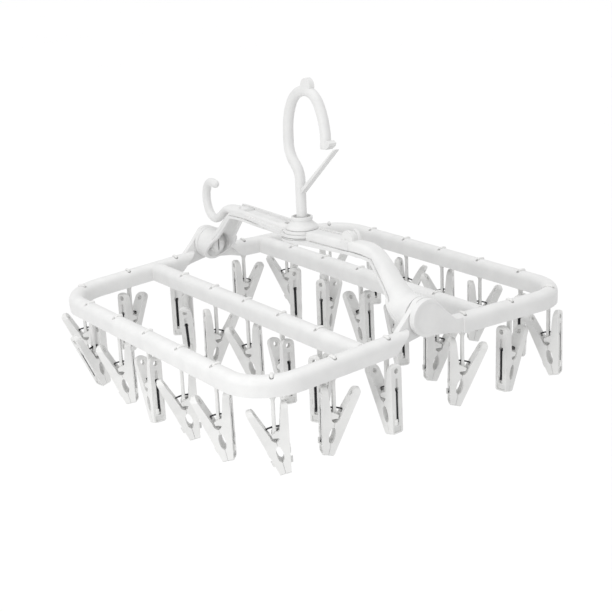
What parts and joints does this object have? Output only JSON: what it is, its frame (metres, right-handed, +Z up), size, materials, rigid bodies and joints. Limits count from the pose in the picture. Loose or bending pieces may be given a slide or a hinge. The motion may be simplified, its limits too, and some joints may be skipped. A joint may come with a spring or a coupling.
{
  "type": "folding clip drying hanger",
  "caption": "Hook-hung drying frame: two ladder-shaped wings fold up on a bridge and carry rows of spring clips for small laundry.",
  "frame": {"origin": "inside top of the hook's crook, where a clothes pole carries the hanger", "axes": "+Z up, +X along the hinge line towards the free end of the hook, +Y towards the level wing"},
  "size_m": [0.4419, 0.4387, 0.3293],
  "materials": {
    "white_plastic": "satin moulded",
    "spring_wire": "dark drawn wire"
  },
  "bodies": {
    "hook": {"swivel_hook": "white_plastic", "stem_retainer": "white_plastic"},
    "gate": {"hook_gate": "white_plastic"},
    "bridge": {"left_arm": "white_plastic", "right_arm": "white_plastic", "swivel_boss": "white_plastic"},
    "near_wing": {"near_wing_frame": "white_plastic", "left_hinge_pin": "white_plastic"},
    "far_wing": {"far_wing_frame": "white_plastic", "right_hinge_pin": "white_plastic"},
    "near_clip_01": {"near_clip_01": "white_plastic"},
    "near_clip_01_press": {"near_clip_01_press_lever": "white_plastic"},
    "near_clip_02": {"near_clip_02": "white_plastic"},
    "near_clip_02_press": {"near_clip_02_press_lever": "white_plastic"},
    "near_clip_03": {"near_clip_03": "white_plastic"},
    "near_clip_03_press": {"near_clip_03_press_lever": "white_plastic"},
    "near_clip_04": {"near_clip_04": "white_plastic"},
    "near_clip_04_press": {"near_clip_04_press_lever": "white_plastic"},
    "near_clip_05": {"near_clip_05": "white_plastic"},
    "near_clip_05_press": {"near_clip_05_press_lever": "white_plastic"},
    "near_clip_06": {"near_clip_06": "white_plastic"},
    "near_clip_06_press": {"near_clip_06_press_lever": "white_plastic"},
    "near_clip_07": {"near_clip_07": "white_plastic"},
    "near_clip_07_press": {"near_clip_07_press_lever": "white_plastic"},
    "near_clip_08": {"near_clip_08": "white_plastic"},
    "near_clip_08_press": {"near_clip_08_press_lever": "white_plastic"},
    "near_clip_09": {"near_clip_09": "white_plastic"},
    "near_clip_09_press": {"near_clip_09_press_lever": "white_plastic"},
    "near_clip_10": {"near_clip_10": "white_plastic"},
    "near_clip_10_press": {"near_clip_10_press_lever": "white_plastic"},
    "near_clip_11": {"near_clip_11": "white_plastic"},
    "near_clip_11_press": {"near_clip_11_press_lever": "white_plastic"},
    "near_clip_12": {"near_clip_12": "white_plastic"},
    "near_clip_12_press": {"near_clip_12_press_lever": "white_plastic"},
    "near_clip_13": {"near_clip_13_link": "white_plastic"},
    "near_clip_13_grip": {"near_clip_13_grip_lever": "white_plastic", "near_clip_13_spring": "spring_wire"},
    "near_clip_13_press": {"near_clip_13_press_lever": "white_plastic"},
    "near_clip_14": {"near_clip_14": "white_plastic"},
    "near_clip_14_press": {"near_clip_14_press_lever": "white_plastic"},
    "near_clip_15": {"near_clip_15": "white_plastic"},
    "near_clip_15_press": {"near_clip_15_press_lever": "white_plastic"},
    "near_clip_16": {"near_clip_16": "white_plastic"},
    "near_clip_16_press": {"near_clip_16_press_lever": "white_plastic"},
    "far_clip_01": {"far_clip_01": "white_plastic"},
    "far_clip_02": {"far_clip_02": "white_plastic"},
    "far_clip_03": {"far_clip_03": "white_plastic"},
    "far_clip_04": {"far_clip_04": "white_plastic"},
    "far_clip_05": {"far_clip_05": "white_plastic"},
    "far_clip_06": {"far_clip_06": "white_plastic"},
    "far_clip_07": {"far_clip_07": "white_plastic"},
    "far_clip_08": {"far_clip_08": "white_plastic"},
    "far_clip_09": {"far_clip_09": "white_plastic"},
    "far_clip_10": {"far_clip_10": "white_plastic"},
    "far_clip_11": {"far_clip_11": "white_plastic"},
    "far_clip_12": {"far_clip_12": "white_plastic"},
    "far_clip_13": {"far_clip_13": "white_plastic"},
    "far_clip_14": {"far_clip_14": "white_plastic"},
    "far_clip_15": {"far_clip_15": "white_plastic"},
    "far_clip_16": {"far_clip_16": "white_plastic"}
  },
  "joints": [
    {"name": "gate_flex", "type": "hinge", "parent": "hook", "child": "gate", "pos_m": [-0.00305, 0, -0.10426], "axis": [0, 1, 0], "range_deg": [0, 35], "stiffness_Nm_per_rad": 0.06},
    {"name": "swivel", "type": "hinge", "parent": "hook", "child": "bridge", "pos_m": [-0.009, 0, -0.19976], "axis": [0, 0, 1], "continuous": true},
    {"name": "near_wing_fold", "type": "hinge", "parent": "bridge", "child": "near_wing", "pos_m": [-0.009, 0, -0.19356], "axis": [1, 0, 0], "range_deg": [-75, 0]},
    {"name": "far_wing_fold", "type": "hinge", "parent": "bridge", "child": "far_wing", "pos_m": [-0.009, 0, -0.19356], "axis": [1, 0, 0], "range_deg": [0, 75]},
    {"name": "near_clip_01_swing", "type": "hinge", "parent": "near_wing", "child": "near_clip_01", "pos_m": [0.121, -0.19352, -0.21399], "axis": [0, 1, 0], "range_deg": [-8, 8]},
    {"name": "near_clip_01_jaws", "type": "hinge", "parent": "near_clip_01", "child": "near_clip_01_press", "pos_m": [0.121, -0.19352, -0.27099], "axis": [-0.7071, 0.7071, 0], "range_deg": [0, 16], "stiffness_Nm_per_rad": 0.12},
    {"name": "near_clip_02_swing", "type": "hinge", "parent": "near_wing", "child": "near_clip_02", "pos_m": [0.056, -0.19352, -0.21399], "axis": [0, 1, 0], "range_deg": [-8, 8]},
    {"name": "near_clip_02_jaws", "type": "hinge", "parent": "near_clip_02", "child": "near_clip_02_press", "pos_m": [0.056, -0.19352, -0.27099], "axis": [-0.8829, 0.4695, 0], "range_deg": [0, 16], "stiffness_Nm_per_rad": 0.12},
    {"name": "near_clip_03_swing", "type": "hinge", "parent": "near_wing", "child": "near_clip_03", "pos_m": [-0.009, -0.19352, -0.21399], "axis": [0, 1, 0], "range_deg": [-8, 8]},
    {"name": "near_clip_03_jaws", "type": "hinge", "parent": "near_clip_03", "child": "near_clip_03_press", "pos_m": [-0.009, -0.19352, -0.27099], "axis": [0.0349, 0.9994, 0], "range_deg": [0, 16], "stiffness_Nm_per_rad": 0.12},
    {"name": "near_clip_04_swing", "type": "hinge", "parent": "near_wing", "child": "near_clip_04", "pos_m": [-0.074, -0.19352, -0.21399], "axis": [0, 1, 0], "range_deg": [-8, 8]},
    {"name": "near_clip_04_jaws", "type": "hinge", "parent": "near_clip_04", "child": "near_clip_04_press", "pos_m": [-0.074, -0.19352, -0.27099], "axis": [-0.7431, 0.6691, 0], "range_deg": [0, 16], "stiffness_Nm_per_rad": 0.12},
    {"name": "near_clip_05_swing", "type": "hinge", "parent": "near_wing", "child": "near_clip_05", "pos_m": [-0.139, -0.19352, -0.21399], "axis": [0, 1, 0], "range_deg": [-8, 8]},
    {"name": "near_clip_05_jaws", "type": "hinge", "parent": "near_clip_05", "child": "near_clip_05_press", "pos_m": [-0.139, -0.19352, -0.27099], "axis": [-0.9903, -0.1392, 0], "range_deg": [0, 16], "stiffness_Nm_per_rad": 0.12},
    {"name": "near_clip_06_swing", "type": "hinge", "parent": "near_wing", "child": "near_clip_06", "pos_m": [0.121, -0.07484, -0.20527], "axis": [0, 1, 0], "range_deg": [-8, 8]},
    {"name": "near_clip_06_jaws", "type": "hinge", "parent": "near_clip_06", "child": "near_clip_06_press", "pos_m": [0.121, -0.07484, -0.26227], "axis": [0.866, 0.5, 0], "range_deg": [0, 16], "stiffness_Nm_per_rad": 0.12},
    {"name": "near_clip_07_swing", "type": "hinge", "parent": "near_wing", "child": "near_clip_07", "pos_m": [0.056, -0.07484, -0.20527], "axis": [0, 1, 0], "range_deg": [-8, 8]},
    {"name": "near_clip_07_jaws", "type": "hinge", "parent": "near_clip_07", "child": "near_clip_07_press", "pos_m": [0.056, -0.07484, -0.26227], "axis": [0.1392, 0.9903, 0], "range_deg": [0, 16], "stiffness_Nm_per_rad": 0.12},
    {"name": "near_clip_08_swing", "type": "hinge", "parent": "near_wing", "child": "near_clip_08", "pos_m": [-0.009, -0.07484, -0.20527], "axis": [0, 1, 0], "range_deg": [-8, 8]},
    {"name": "near_clip_08_jaws", "type": "hinge", "parent": "near_clip_08", "child": "near_clip_08_press", "pos_m": [-0.009, -0.07484, -0.26227], "axis": [-0.6428, 0.766, 0], "range_deg": [0, 16], "stiffness_Nm_per_rad": 0.12},
    {"name": "near_clip_09_swing", "type": "hinge", "parent": "near_wing", "child": "near_clip_09", "pos_m": [-0.074, -0.07484, -0.20527], "axis": [0, 1, 0], "range_deg": [-8, 8]},
    {"name": "near_clip_09_jaws", "type": "hinge", "parent": "near_clip_09", "child": "near_clip_09_press", "pos_m": [-0.074, -0.07484, -0.26227], "axis": [0.9659, -0.2588, 0], "range_deg": [0, 16], "stiffness_Nm_per_rad": 0.12},
    {"name": "near_clip_10_swing", "type": "hinge", "parent": "near_wing", "child": "near_clip_10", "pos_m": [-0.139, -0.07484, -0.20527], "axis": [0, 1, 0], "range_deg": [-8, 8]},
    {"name": "near_clip_10_jaws", "type": "hinge", "parent": "near_clip_10", "child": "near_clip_10_press", "pos_m": [-0.139, -0.07484, -0.26227], "axis": [-0.5736, -0.8192, 0], "range_deg": [0, 16], "stiffness_Nm_per_rad": 0.12},
    {"name": "near_clip_11_swing", "type": "hinge", "parent": "near_wing", "child": "near_clip_11", "pos_m": [0.191, -0.04722, -0.20324], "axis": [1, 0, 0], "range_deg": [-8, 8]},
    {"name": "near_clip_11_jaws", "type": "hinge", "parent": "near_clip_11", "child": "near_clip_11_press", "pos_m": [0.191, -0.04722, -0.26024], "axis": [-0.0872, 0.9962, 0], "range_deg": [0, 16], "stiffness_Nm_per_rad": 0.12},
    {"name": "near_clip_12_swing", "type": "hinge", "parent": "near_wing", "child": "near_clip_12", "pos_m": [0.191, -0.11025, -0.20787], "axis": [1, 0, 0], "range_deg": [-8, 8]},
    {"name": "near_clip_12_jaws", "type": "hinge", "parent": "near_clip_12", "child": "near_clip_12_press", "pos_m": [0.191, -0.11025, -0.26487], "axis": [0.9397, -0.342, 0], "range_deg": [0, 16], "stiffness_Nm_per_rad": 0.12},
    {"name": "near_clip_13_swing", "type": "hinge", "parent": "near_wing", "child": "near_clip_13", "pos_m": [0.18384, -0.17258, -0.21245], "axis": [0.8518, -0.5239, 0], "range_deg": [-8, 8]},
    {"name": "near_clip_13_tilt", "type": "hinge", "parent": "near_clip_13", "child": "near_clip_13_grip", "pos_m": [0.18384, -0.17258, -0.26945], "axis": [0.848, -0.5299, 0], "range_deg": [-10, 10]},
    {"name": "near_clip_13_jaws", "type": "hinge", "parent": "near_clip_13_grip", "child": "near_clip_13_press", "pos_m": [0.18384, -0.17258, -0.26945], "axis": [-0.848, 0.5299, 0], "range_deg": [0, 16], "stiffness_Nm_per_rad": 0.12, "deforming": ["near_clip_13_spring"]},
    {"name": "near_clip_14_swing", "type": "hinge", "parent": "near_wing", "child": "near_clip_14", "pos_m": [-0.209, -0.04722, -0.20324], "axis": [1, 0, 0], "range_deg": [-8, 8]},
    {"name": "near_clip_14_jaws", "type": "hinge", "parent": "near_clip_14", "child": "near_clip_14_press", "pos_m": [-0.209, -0.04722, -0.26024], "axis": [0.5736, 0.8192, 0], "range_deg": [0, 16], "stiffness_Nm_per_rad": 0.12},
    {"name": "near_clip_15_swing", "type": "hinge", "parent": "near_wing", "child": "near_clip_15", "pos_m": [-0.209, -0.11025, -0.20787], "axis": [1, 0, 0], "range_deg": [-8, 8]},
    {"name": "near_clip_15_jaws", "type": "hinge", "parent": "near_clip_15", "child": "near_clip_15_press", "pos_m": [-0.209, -0.11025, -0.26487], "axis": [0.9397, 0.342, 0], "range_deg": [0, 16], "stiffness_Nm_per_rad": 0.12},
    {"name": "near_clip_16_swing", "type": "hinge", "parent": "near_wing", "child": "near_clip_16", "pos_m": [-0.20184, -0.17258, -0.21245], "axis": [-0.8518, -0.5239, 0], "range_deg": [-8, 8]},
    {"name": "near_clip_16_jaws", "type": "hinge", "parent": "near_clip_16", "child": "near_clip_16_press", "pos_m": [-0.20184, -0.17258, -0.26945], "axis": [-0.8192, 0.5736, 0], "range_deg": [0, 16], "stiffness_Nm_per_rad": 0.12},
    {"name": "far_clip_01_swing", "type": "hinge", "parent": "far_wing", "child": "far_clip_01", "pos_m": [-0.139, 0.1945, -0.19976], "axis": [0, 1, 0], "range_deg": [-8, 8]},
    {"name": "far_clip_02_swing", "type": "hinge", "parent": "far_wing", "child": "far_clip_02", "pos_m": [-0.074, 0.1945, -0.19976], "axis": [0, 1, 0], "range_deg": [-8, 8]},
    {"name": "far_clip_03_swing", "type": "hinge", "parent": "far_wing", "child": "far_clip_03", "pos_m": [-0.009, 0.1945, -0.19976], "axis": [0, 1, 0], "range_deg": [-8, 8]},
    {"name": "far_clip_04_swing", "type": "hinge", "parent": "far_wing", "child": "far_clip_04", "pos_m": [0.056, 0.1945, -0.19976], "axis": [0, 1, 0], "range_deg": [-8, 8]},
    {"name": "far_clip_05_swing", "type": "hinge", "parent": "far_wing", "child": "far_clip_05", "pos_m": [0.121, 0.1945, -0.19976], "axis": [0, 1, 0], "range_deg": [-8, 8]},
    {"name": "far_clip_06_swing", "type": "hinge", "parent": "far_wing", "child": "far_clip_06", "pos_m": [-0.139, 0.0755, -0.19976], "axis": [0, 1, 0], "range_deg": [-8, 8]},
    {"name": "far_clip_07_swing", "type": "hinge", "parent": "far_wing", "child": "far_clip_07", "pos_m": [-0.074, 0.0755, -0.19976], "axis": [0, 1, 0], "range_deg": [-8, 8]},
    {"name": "far_clip_08_swing", "type": "hinge", "parent": "far_wing", "child": "far_clip_08", "pos_m": [-0.009, 0.0755, -0.19976], "axis": [0, 1, 0], "range_deg": [-8, 8]},
    {"name": "far_clip_09_swing", "type": "hinge", "parent": "far_wing", "child": "far_clip_09", "pos_m": [0.056, 0.0755, -0.19976], "axis": [0, 1, 0], "range_deg": [-8, 8]},
    {"name": "far_clip_10_swing", "type": "hinge", "parent": "far_wing", "child": "far_clip_10", "pos_m": [0.121, 0.0755, -0.19976], "axis": [0, 1, 0], "range_deg": [-8, 8]},
    {"name": "far_clip_11_swing", "type": "hinge", "parent": "far_wing", "child": "far_clip_11", "pos_m": [-0.209, 0.0478, -0.19976], "axis": [1, 0, 0], "range_deg": [-8, 8]},
    {"name": "far_clip_12_swing", "type": "hinge", "parent": "far_wing", "child": "far_clip_12", "pos_m": [-0.209, 0.111, -0.19976], "axis": [1, 0, 0], "range_deg": [-8, 8]},
    {"name": "far_clip_13_swing", "type": "hinge", "parent": "far_wing", "child": "far_clip_13", "pos_m": [-0.20184, 0.1735, -0.19976], "axis": [-0.8427, 0.5385, 0], "range_deg": [-8, 8]},
    {"name": "far_clip_14_swing", "type": "hinge", "parent": "far_wing", "child": "far_clip_14", "pos_m": [0.191, 0.0478, -0.19976], "axis": [1, 0, 0], "range_deg": [-8, 8]},
    {"name": "far_clip_15_swing", "type": "hinge", "parent": "far_wing", "child": "far_clip_15", "pos_m": [0.191, 0.111, -0.19976], "axis": [1, 0, 0], "range_deg": [-8, 8]},
    {"name": "far_clip_16_swing", "type": "hinge", "parent": "far_wing", "child": "far_clip_16", "pos_m": [0.18384, 0.1735, -0.19976], "axis": [0.8427, 0.5385, 0], "range_deg": [-8, 8]}
  ]
}
